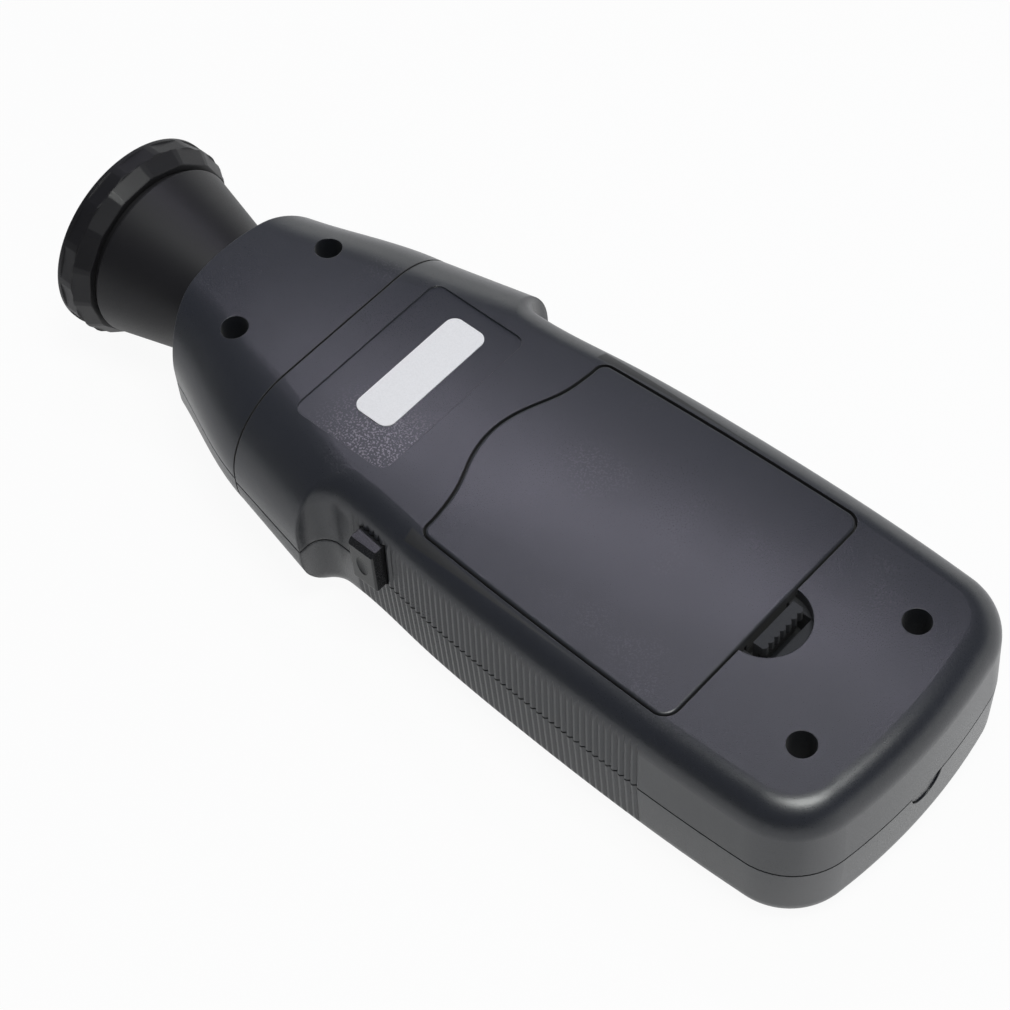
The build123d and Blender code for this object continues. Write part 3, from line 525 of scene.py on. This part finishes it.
    def sheen(self, shader: Shader, place: Signal) -> Number:
        """Polished patches, and a dull thumb recess."""
        patch = shader.noise(place, self.face_polish, detail=2).rise(0.35, 0.7)
        return patch * self.polish - self.latch_place(shader, place) * self.thumb_rough


@dataclass(frozen=True)
class ClearPlastic(Finish):
    """Polished clear plastic with faint hairline scratches."""

    tint: Rgb
    roughness: float = 0.03
    hair: float = 0.25 * MM
    hair_stretch: Point = (1.0, 0.06, 1.0)
    patch: float = 6 * MM
    wave_depth: float = 0.004 * MM

    def build(self, shader: Shader) -> None:
        """Full transmission with short scratches in the roughness."""
        place = shader.place()
        hair = shader.noise(shader.stretched(place, self.hair_stretch), self.hair, detail=1)
        broad = shader.noise(place, self.patch)
        scratch = hair.rise(0.62, 0.72) * broad.rise(0.45, 0.65)
        shader.surface(
            Base_Color=shader.mixed(broad * 0.2, self.tint, WHITE),
            Roughness=self.roughness + scratch * 0.12,
            Transmission_Weight=1.0, IOR=1.49,
            Normal=shader.bump(broad, self.wave_depth))


@dataclass(frozen=True)
class Metal(Finish):
    """Bare or plated metal with fine lines along one axis."""

    colour: Rgb
    roughness: float
    line: float = 0.12 * MM
    line_stretch: Point = (0.05, 1.0, 1.0)
    line_depth: float = 0.006 * MM
    blotch: float = 1.6 * MM
    dull: Rgb = (0.2, 0.19, 0.18)

    def build(self, shader: Shader) -> None:
        """Lines of the rolling or turning, and dull blotches."""
        place = shader.place()
        line = shader.noise(shader.stretched(place, self.line_stretch), self.line, detail=2)
        blotch = shader.noise(place, self.blotch, detail=3).rise(0.55, 0.8)
        shader.surface(
            Base_Color=shader.mixed(blotch * 0.4, self.colour, self.dull),
            Metallic=1.0,
            Roughness=(self.roughness + (line - 0.5) * 0.25 + blotch * 0.2).clamped(),
            Normal=shader.bump(line, self.line_depth))


@dataclass(frozen=True)
class Mirror(Finish):
    """Vacuum-metallised reflector."""

    colour: Rgb
    peel: float = 1.8 * MM
    peel_depth: float = 0.012 * MM
    haze: float = 7 * MM
    haze_colour: Rgb = (0.6, 0.6, 0.62)

    def build(self, shader: Shader) -> None:
        """Bright coat with a faint orange peel and a thin haze."""
        place = shader.place()
        peel = shader.noise(place, self.peel, detail=1)
        haze = shader.noise(place, self.haze, detail=3).rise(0.45, 0.8)
        shader.surface(
            Base_Color=shader.mixed(haze * 0.3, self.colour, self.haze_colour),
            Metallic=1.0, Roughness=0.07 + haze * 0.08,
            Normal=shader.bump(peel, self.peel_depth))


@dataclass(frozen=True)
class Film(Finish):
    """Plain film or paper, without any print on it."""

    colour: Rgb
    roughness: float = 0.35
    fibre: float = 0.3 * MM
    wave: float = 9 * MM
    depth: float = 0.03 * MM

    def build(self, shader: Shader) -> None:
        """Fibre in the colour and a slight waviness of the sheet."""
        place = shader.place()
        fibre = shader.noise(place, self.fibre, detail=3)
        wave = shader.noise(place, self.wave, detail=1)
        grey = tuple(c * 0.93 for c in self.colour)
        shader.surface(
            Base_Color=shader.mixed(fibre.rise(0.3, 0.75), self.colour, grey),
            Roughness=self.roughness + (fibre - 0.5) * 0.15,
            Normal=shader.bump(wave * 0.7 + fibre * 0.3, self.depth))


@dataclass(frozen=True)
class Lacquer(Finish):
    """Circuit board: green lacquer over copper tracks that run in nested diamonds."""

    colour: Rgb
    track: Rgb
    cell: float = 2.4 * MM
    rings: int = 6
    depth: float = 0.03 * MM
    weave: float = 0.4 * MM

    def build(self, shader: Shader) -> None:
        """Tracks stand proud where the distance in a Voronoi pattern, times rings, ends high."""
        place = shader.place()
        cell = shader.add("ShaderNodeTexVoronoi", {"distance": "MANHATTAN", "feature": "F1"},
                          {"Vector": place, "Scale": 1 / self.cell}, output="Distance")
        track = (cell * self.rings).fraction().rise(0.55, 0.75)
        weave = shader.noise(place, self.weave)
        shader.surface(
            Base_Color=shader.mixed(track, self.colour, self.track),
            Roughness=0.28 + weave * 0.1, Coat_Weight=0.3,
            Normal=shader.bump(track, self.depth))


@dataclass(frozen=True)
class Soft(Finish):
    """Silicone rubber with dust on it."""

    colour: Rgb
    skin: float = 0.3 * MM
    depth: float = 0.02 * MM
    dust: float = 0.5 * MM
    dust_colour: Rgb = (0.6, 0.6, 0.58)

    def build(self, shader: Shader) -> None:
        """Matt skin with pale specks of dust."""
        place = shader.place()
        skin = shader.noise(place, self.skin, detail=3)
        dust = shader.noise(place, self.dust, detail=1).rise(0.68, 0.75)
        shader.surface(
            Base_Color=shader.mixed(dust * 0.5, self.colour, self.dust_colour),
            Roughness=0.7 + skin * 0.2, Normal=shader.bump(skin, self.depth))


@dataclass(frozen=True)
class Seamless(Finish):
    """Studio paper that looks white to the camera and keeps the object's shadow.

    Glossy rays see it glow white as a painted reflection: brighter behind, and darker on the
    button's side as painted shadow.
    """

    colour: Rgb
    shown_white: float
    painted_reflection_behind: float = 0.0
    mirrored_least: float = 0.1
    painted_reflection_edge: tuple[float, ...] = in_metres(45, 30)
    fibre: float = 2 * MM

    def build(self, shader: Shader) -> None:
        """Matt paper, mixed with plain white for rays that show the background."""
        place = shader.place()
        paper = shader.noise(place, self.fibre, detail=2)
        darker = tuple(c * 0.985 for c in self.colour)
        matt = shader.add("ShaderNodeBsdfDiffuse", inputs={
            "Color": shader.mixed(paper, self.colour, darker)})
        white = shader.add("ShaderNodeEmission", inputs={"Color": WHITE, "Strength": 1.0})
        # Painted reflection: glossy rays see more white glow behind than on the button's side,
        # where it stands in for the object's shadow.
        behind = shader.axes(place)[1].rise(*self.painted_reflection_edge)
        mirrored = behind * self.painted_reflection_behind + self.mirrored_least
        share = plain_rays(shader, mirrored) * self.shown_white
        shader.end(shader.add("ShaderNodeMixShader", inputs={0: share, 1: matt, 2: white}))


def plain_rays(shader: Shader, mirrored: Number = 0.0) -> Signal:
    """Rays that show the background.

    Args:
        shader: The tree that is built.
        mirrored: The share for rays that gloss has turned.

    Returns:
        1 for rays seen directly or through glass, the share for glossy ones, else 0.
    """
    path = shader.node("ShaderNodeLightPath")
    seen, through, gloss = [Signal(shader, path.outputs[f"Is {kind} Ray"])
                            for kind in ("Camera", "Transmission", "Glossy")]
    return (seen + through + gloss * mirrored).clamped()


class Slot(Enum):
    """The record's material slots, each with the finish that its pieces get."""

    HOUSING = GripPlastic("housing_plastic", (0.0165, 0.019, 0.026), 0.34, polish=0.04,
                          specular=0.85, sheen_weight=0.08)
    BARREL = MouldedPlastic("barrel_plastic", (0.011, 0.0105, 0.0125), 0.48, grain=0.25 * MM,
                            grain_depth=0.003 * MM, edge_radius=0.5 * MM, specular=0.42)
    BUTTON = MouldedPlastic("button_plastic", (0.016, 0.0165, 0.018), 0.26, grain=0.2 * MM,
                            grain_depth=0.003 * MM, edge_radius=0.15 * MM)
    WINDOW = ClearPlastic("clear_plastic", (0.96, 0.98, 1.0))
    REFLECTOR = Mirror("reflector_coat", (0.9, 0.9, 0.91))
    BOARD = Lacquer("board_lacquer", (0.012, 0.09, 0.035), (0.02, 0.16, 0.06))
    DISPLAY = Film("display_film", (0.27, 0.33, 0.25), 0.12)
    FRAME = MouldedPlastic("frame_plastic", (0.62, 0.62, 0.6), 0.45, wear=0.1)
    LAMP = Film("lamp_phosphor", (0.8, 0.62, 0.16), 0.2)
    MAT = Soft("mat_silicone", (0.28, 0.28, 0.29))
    JACKET = Film("cell_film", (0.05, 0.055, 0.07), 0.22)
    CONTACT = Metal("contact_nickel", (0.62, 0.6, 0.57), 0.28)
    SCREW = Metal("screw_black_steel", (0.06, 0.06, 0.062), 0.38)
    STICKER = Film("sticker_film", (0.96, 0.96, 0.96), 0.32)


def dress(piece: bpy.types.Object, finishes: Sequence[Finish]) -> bpy.types.Object:
    """Gives a piece its finishes, the last one on every further slot, and hands it back."""
    while len(piece.data.materials) < len(finishes):
        piece.data.materials.append(None)
    for i, spot in enumerate(piece.material_slots):
        spot.material = finishes[min(i, len(finishes) - 1)].material()
    return piece


def turned(name: str, profile: np.ndarray, centre: np.ndarray, axis: np.ndarray,
           bands: np.ndarray, turns: int = 96) -> bpy.types.Object:
    """Solid of revolution.

    The point (s, r) of the profile, turned by the angle u, lies at centre + s a +
    r (e cos u + f sin u), where a is the axis and e, f and a are square to each other. The
    profile starts and ends on the axis, where it closes in one point.

    Args:
        name: The piece's name.
        profile: Rows of place along the axis and radius, in metres, in rising order.
        centre: The point from which the places are measured.
        axis: Unit vector of the axis.
        bands: Material number of each stretch of the profile.
        turns: Number of steps about the axis.

    Returns:
        The new object.
    """
    side = np.cross(axis, [0.0, 0.0, 1.0])
    other = np.cross(axis, side)
    angle = np.linspace(0, 2 * np.pi, turns, endpoint=False)
    spokes = np.cos(angle)[:, None] * side + np.sin(angle)[:, None] * other
    rings = (centre + profile[1:-1, 0, None, None] * axis
             + profile[1:-1, 1, None, None] * spokes)
    poles = centre + profile[[0, -1], :1] * axis
    count = len(rings)
    spot = 1 + np.arange(count * turns).reshape(count, turns)
    after = np.roll(spot, -1, axis=1)
    last = 1 + count * turns
    quads = np.stack([spot[:-1], after[:-1], after[1:], spot[1:]], axis=-1).reshape(-1, 4)
    fans = [np.stack([np.zeros(turns, int), after[0], spot[0]], axis=-1),
            np.stack([np.full(turns, last), spot[-1], after[-1]], axis=-1)]
    mesh = bpy.data.meshes.new(name)
    mesh.from_pydata(np.vstack([poles[:1], rings.reshape(-1, 3), poles[1:]]).tolist(), [],
                     fans[0].tolist() + quads.tolist() + fans[1].tolist())
    mesh.polygons.foreach_set("use_smooth", np.ones(len(mesh.polygons), bool))
    mesh.polygons.foreach_set("material_index", np.repeat(bands, turns))
    mesh.set_sharp_from_angle(angle=SHARP)
    piece = bpy.data.objects.new(name, mesh)
    bpy.context.scene.collection.objects.link(piece)
    return piece


@dataclass
class SubAssembly:
    """Pieces that are made together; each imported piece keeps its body."""

    def build(self) -> None:
        """Makes and dresses the pieces."""
        raise NotImplementedError

    def dressed(self, nodes: Sequence[str], slot: Slot) -> None:
        """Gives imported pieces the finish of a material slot."""
        for node in nodes:
            dress(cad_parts[node], [slot.value])
            log.info("%s gets %s", node, slot.value.name)

    def stand_for(self, piece: bpy.types.Object, node: str, slot_name: str) -> None:
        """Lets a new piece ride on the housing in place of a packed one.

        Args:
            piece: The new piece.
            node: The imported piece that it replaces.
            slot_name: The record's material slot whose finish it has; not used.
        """
        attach(piece, "housing")
        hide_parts(node)
        log.info("%s stands for %s", piece.name, node)


@dataclass
class Housing(SubAssembly):
    """The two covers, the two shells of the nose, the battery door and the blank label."""

    shells: tuple[str, ...] = ("rear_cover", "front_cover", "nose_rear_shell",
                               "nose_front_shell", "battery_door")
    screws: tuple[str, ...] = ("tail_screws", "nose_screws", "board_screws")

    def build(self) -> None:
        """Dresses the moulded shells, the screws in their wells and the label."""
        self.dressed(self.shells, Slot.HOUSING)
        self.dressed(self.screws, Slot.SCREW)
        self.dressed(["label_sticker"], Slot.STICKER)


@dataclass
class LampUnit(SubAssembly):
    """The black barrel and ring with the lens, the reflector and the lamp in them.

    Lengths are in millimetres.
    """

    lens_x: tuple[float, float] = (103.6, 105.4)
    lens_r: float = 18.95
    lens_bevel: float = 0.2
    dome_r: float = 17.8
    dome_h: float = 0.75
    axis_z: float = 22.9

    def build(self) -> None:
        """Dresses the unit and puts a domed lens in the flat one's place."""
        self.dressed(["lamp_barrel", "bezel_ring"], Slot.BARREL)
        self.dressed(["reflector"], Slot.REFLECTOR)
        self.dressed(["lamp_led"], Slot.LAMP)
        self.dressed(["lamp_board"], Slot.BOARD)
        self.lens()

    def lens(self) -> None:
        """The lens: h (1 - r²/R²) above its front face, with a small bevel on the rim."""
        back, front = self.lens_x
        edge, bevel = self.lens_r, self.lens_bevel
        radius = np.linspace(self.dome_r, 0, 14)
        dome = np.c_[front + self.dome_h * (1 - (radius / self.dome_r) ** 2), radius]
        rim = [(back, 0.0), (back, edge - bevel), (back + bevel, edge),
               (front - bevel, edge), (front, edge - bevel)]
        profile = np.vstack([rim, dome]) * MM
        lens = turned("domed_lens", profile, np.array([0, 0, self.axis_z]) * MM,
                      np.array([1.0, 0.0, 0.0]), np.zeros(len(profile) - 1, int), 128)
        self.stand_for(dress(lens, [Slot.WINDOW.value]), "front_lens", "clear_window")


@dataclass
class BatteryBay(SubAssembly):
    """Four cells, laid head to tail across the bay, and the contacts at their ends.

    Lengths are in millimetres. The four profiles are rows of place along the cell, measured
    from its middle, and radius.
    """

    cells: int = 4
    first_x: float = -59.7
    pitch: float = 14.4
    height: float = 30.2
    contacts: tuple[str, ...] = ("contact_plus", "contact_minus", "contact_bridge_1",
                                 "contact_bridge_2", "contact_bridge_3")
    steel_end: tuple[tuple[float, float], ...] = (
        (-25.08, 0.0), (-25.08, 4.2), (-24.8, 4.6), (-24.8, 5.6))
    jacket: tuple[tuple[float, float], ...] = (
        (-25.05, 6.1), (-24.98, 6.6), (-24.72, 6.95), (-24.3, 7.08), (23.2, 7.08),
        (23.65, 6.96), (23.95, 6.62), (24.05, 6.1), (23.8, 5.7))
    washer: tuple[tuple[float, float], ...] = ((23.8, 3.2),)
    nub: tuple[tuple[float, float], ...] = (
        (23.95, 2.85), (24.75, 2.72), (25.0, 2.45), (25.08, 2.1), (25.08, 0.0))

    def build(self) -> None:
        """Makes the cells and dresses the contacts."""
        self.dressed(self.contacts, Slot.CONTACT)
        for number in range(self.cells):
            self.cell(number)

    def cell(self, number: int) -> None:
        """A cell with its crimped jacket, both steel ends and the washer round the nub."""
        parts = (self.steel_end, self.jacket, self.washer, self.nub)
        kinds = (0, 1, 2, 0)
        profile = np.vstack(parts) * MM
        bands = np.repeat(kinds, [len(part) for part in parts])[1:]
        centre = np.array([self.first_x + number * self.pitch, 0, self.height]) * MM
        axis = np.array([0.0, 1.0 if number % 2 == 0 else -1.0, 0.0])
        cell = turned(f"cell_{number + 1}", profile, centre, axis, bands)
        dress(cell, [Slot.CONTACT.value, Slot.JACKET.value, Slot.FRAME.value])
        self.stand_for(cell, f"battery_cell_{number + 1}", "cell_jacket")


@dataclass
class Controls(SubAssembly):
    """The side button with its switch, and the keys with their mat."""

    keys: tuple[str, ...] = ("key_mode", "key_up", "key_down", "key_double", "key_half")

    def build(self) -> None:
        """Dresses the button, the keys and what lies behind them."""
        self.dressed(["measure_button", *self.keys], Slot.BUTTON)
        self.dressed(["trigger_switch"], Slot.FRAME)
        self.dressed(["key_mat"], Slot.MAT)


@dataclass
class Display(SubAssembly):
    """The display panel on its board, in its frame, behind the window."""

    def build(self) -> None:
        """Dresses the window, the panel, the frame and the main board."""
        self.dressed(["display_window"], Slot.WINDOW)
        self.dressed(["lcd_panel"], Slot.DISPLAY)
        self.dressed(["lcd_frame"], Slot.FRAME)
        self.dressed(["main_board"], Slot.BOARD)


@dataclass(frozen=True)
class SoftLamp:
    """A rectangular soft lamp that faces the origin, its long side along X."""

    name: str
    size: tuple[float, float]
    watts: float
    colour: Rgb

    def hang(self, place: Point) -> None:
        """Hangs the lamp at a place, in metres."""
        data = bpy.data.lights.new(self.name, "AREA")
        data.shape = "RECTANGLE"
        data.size, data.size_y = self.size
        data.energy = self.watts
        data.color = self.colour
        away = np.array(place)
        away /= np.linalg.norm(away)
        along = np.array([1.0, 0.0, 0.0]) - away[0] * away
        along /= np.linalg.norm(along)
        matrix = np.eye(4)
        matrix[:3, :3] = np.c_[along, np.cross(away, along), away]
        matrix[:3, 3] = place
        lamp = bpy.data.objects.new(self.name, data)
        lamp.matrix_world = Matrix(matrix.tolist())
        bpy.context.scene.collection.objects.link(lamp)


@dataclass
class Studio:
    """Camera, floor, lamps and world.

    The camera's and the floor's lengths are in millimetres, the lamps' in metres.
    """

    focal_pixels: float = 2682.363
    picture_pixels: int = 1010
    azimuth: float = 226.115
    elevation: float = 54.127
    roll: float = -5.211
    offset: Point = (9.512, 6.358, 524.27)
    target: Point = (-15.6, 0.0, 40.2)
    sensor: float = 36.0

    tail_rest: tuple[float, float] = (-100.5, 3.4)
    ring_rest: tuple[float, float] = (107.5, 0.0)
    floor_size: float = 6000.0
    floor_gap: float = 0.05
    # The paper's last number sets how strongly its painted reflection glows behind.
    paper: Seamless = Seamless("studio_paper", (0.93, 0.93, 0.93), 0.94, 0.6)

    strip: SoftLamp = SoftLamp("strip_lamp", (0.34, 0.05), 0.56, (0.86, 0.82, 1.0))
    strip_shown: tuple[float, float] = (-36.0, 6.0)
    strip_height: float = 0.64
    top: SoftLamp = SoftLamp("top_lamp", (0.4, 0.4), 5.8, (0.98, 1.0, 0.97))
    top_place: Point = (-0.25, 0.03, 1.05)

    ceiling: float = 0.05
    ceiling_toward: Point = (0.42, -0.41, 0.81)
    ceiling_edge: tuple[float, float] = (0.74, 0.97)
    backdrop: float = 0.85
    backdrop_z: tuple[float, float] = (0.5, 0.1)
    backdrop_y: tuple[float, float] = (0.6, -0.1)
    room: float = 0.14
    low_tint: Rgb = (0.98, 1.0, 0.97)
    high_tint: Rgb = (0.84, 0.86, 1.0)
    tint_z: tuple[float, float] = (0.1, 0.5)

    def build(self) -> None:
        """Sets up the camera, the floor, the lamps and the world."""
        self.camera()
        self.floor()
        self.strip.hang(self.mirrored(self.strip_shown, self.strip_height))
        self.top.hang(self.top_place)
        self.world()
        bpy.context.scene.view_settings.view_transform = "Standard"

    def camera(self) -> None:
        """Places the camera.

        Its axes are right, up and back of the given azimuth and elevation, turned by the
        roll, and it stands where the target has the given offset along those axes.
        """
        a, e, r = np.radians([self.azimuth, self.elevation, self.roll])
        back = np.array([np.sin(a) * np.cos(e), -np.cos(a) * np.cos(e), np.sin(e)])
        right = np.array([np.cos(a), np.sin(a), 0.0])
        level = np.array([right, np.cross(back, right), back])
        turn = np.array([[np.cos(r), np.sin(r), 0], [-np.sin(r), np.cos(r), 0], [0, 0, 1]])
        axes = turn @ level
        across, up, away = self.offset
        stand = (np.array(self.target) + axes.T @ np.array([-across, -up, away])) * MM
        matrix = np.eye(4)
        matrix[:3, :3] = axes.T
        matrix[:3, 3] = stand
        data = bpy.data.cameras.new("photo_camera")
        data.sensor_width = self.sensor
        data.lens = self.sensor * self.focal_pixels / self.picture_pixels
        data.clip_start, data.clip_end = 0.01, 20.0
        camera = bpy.data.objects.new("photo_camera", data)
        camera.matrix_world = Matrix(matrix.tolist())
        bpy.context.scene.collection.objects.link(camera)
        bpy.context.scene.camera = camera

    def floor(self) -> None:
        """A wide sheet that touches the ring and the tail edge, on which the object rests."""
        (tail_x, tail_z), (ring_x, ring_z) = self.tail_rest, self.ring_rest
        slope = (ring_z - tail_z) / (ring_x - tail_x)
        half = self.floor_size / 2
        corner = np.array([(-half, -half), (half, -half), (half, half), (-half, half)])
        height = tail_z + slope * (corner[:, 0] - tail_x) - self.floor_gap
        mesh = bpy.data.meshes.new("studio_floor")
        mesh.from_pydata((np.c_[corner, height] * MM).tolist(), [], [(0, 1, 2, 3)])
        floor = bpy.data.objects.new("studio_floor", mesh)
        bpy.context.scene.collection.objects.link(floor)
        dress(floor, [self.paper])

    def mirrored(self, place: tuple[float, float], height: float) -> Point:
        """Where a lamp hangs whose reflection the camera sees at a place on the flat rear face.

        Args:
            place: The place on the face, in millimetres.
            height: The lamp's height in metres.

        Returns:
            The point at that height on the ray from the camera's mirror image through the place.
        """
        stand = bpy.context.scene.camera.matrix_world.translation
        face = self.target[2] * MM
        image = np.array([stand.x, stand.y, 2 * face - stand.z])
        point = np.array([place[0] * MM, place[1] * MM, face])
        return tuple(image + (point - image) * (height - image[2]) / (face - image[2]))

    def world(self) -> None:
        """A dim room with a pale backdrop, and plain white for rays that show the background."""
        world = bpy.data.worlds.new("studio_sky")
        world.use_nodes = True
        shader = Shader(world.node_tree)
        toward = shader.axes(shader.add("ShaderNodeTexCoord", output="Generated"))
        x, y, z = [part * factor for part, factor in zip(toward, self.ceiling_toward)]
        ceiling = (x + y + z).rise(*self.ceiling_edge)
        _, y, z = toward
        backdrop = z.rise(*self.backdrop_z) * y.rise(*self.backdrop_y)
        bright = (ceiling * self.ceiling + backdrop * self.backdrop + self.room).clamped()
        tint = shader.mixed(z.rise(*self.tint_z), self.low_tint, self.high_tint)
        dark, lit, white = [
            shader.add("ShaderNodeBackground", inputs={"Color": colour, "Strength": 1.0})
            for colour in (BLACK, tint, WHITE)]
        room = shader.add("ShaderNodeMixShader", inputs={0: bright, 1: dark, 2: lit})
        both = shader.add("ShaderNodeMixShader", inputs={0: plain_rays(shader), 1: room, 2: white})
        shader.end(both, "ShaderNodeOutputWorld")
        bpy.context.scene.world = world


def main() -> None:
    """Builds the pieces and the studio in order."""
    logging.basicConfig(level=logging.INFO, format="%(message)s")
    for part in (Housing(), LampUnit(), BatteryBay(), Controls(), Display(), Studio()):
        part.build()


if __name__ == "__main__":
    main()
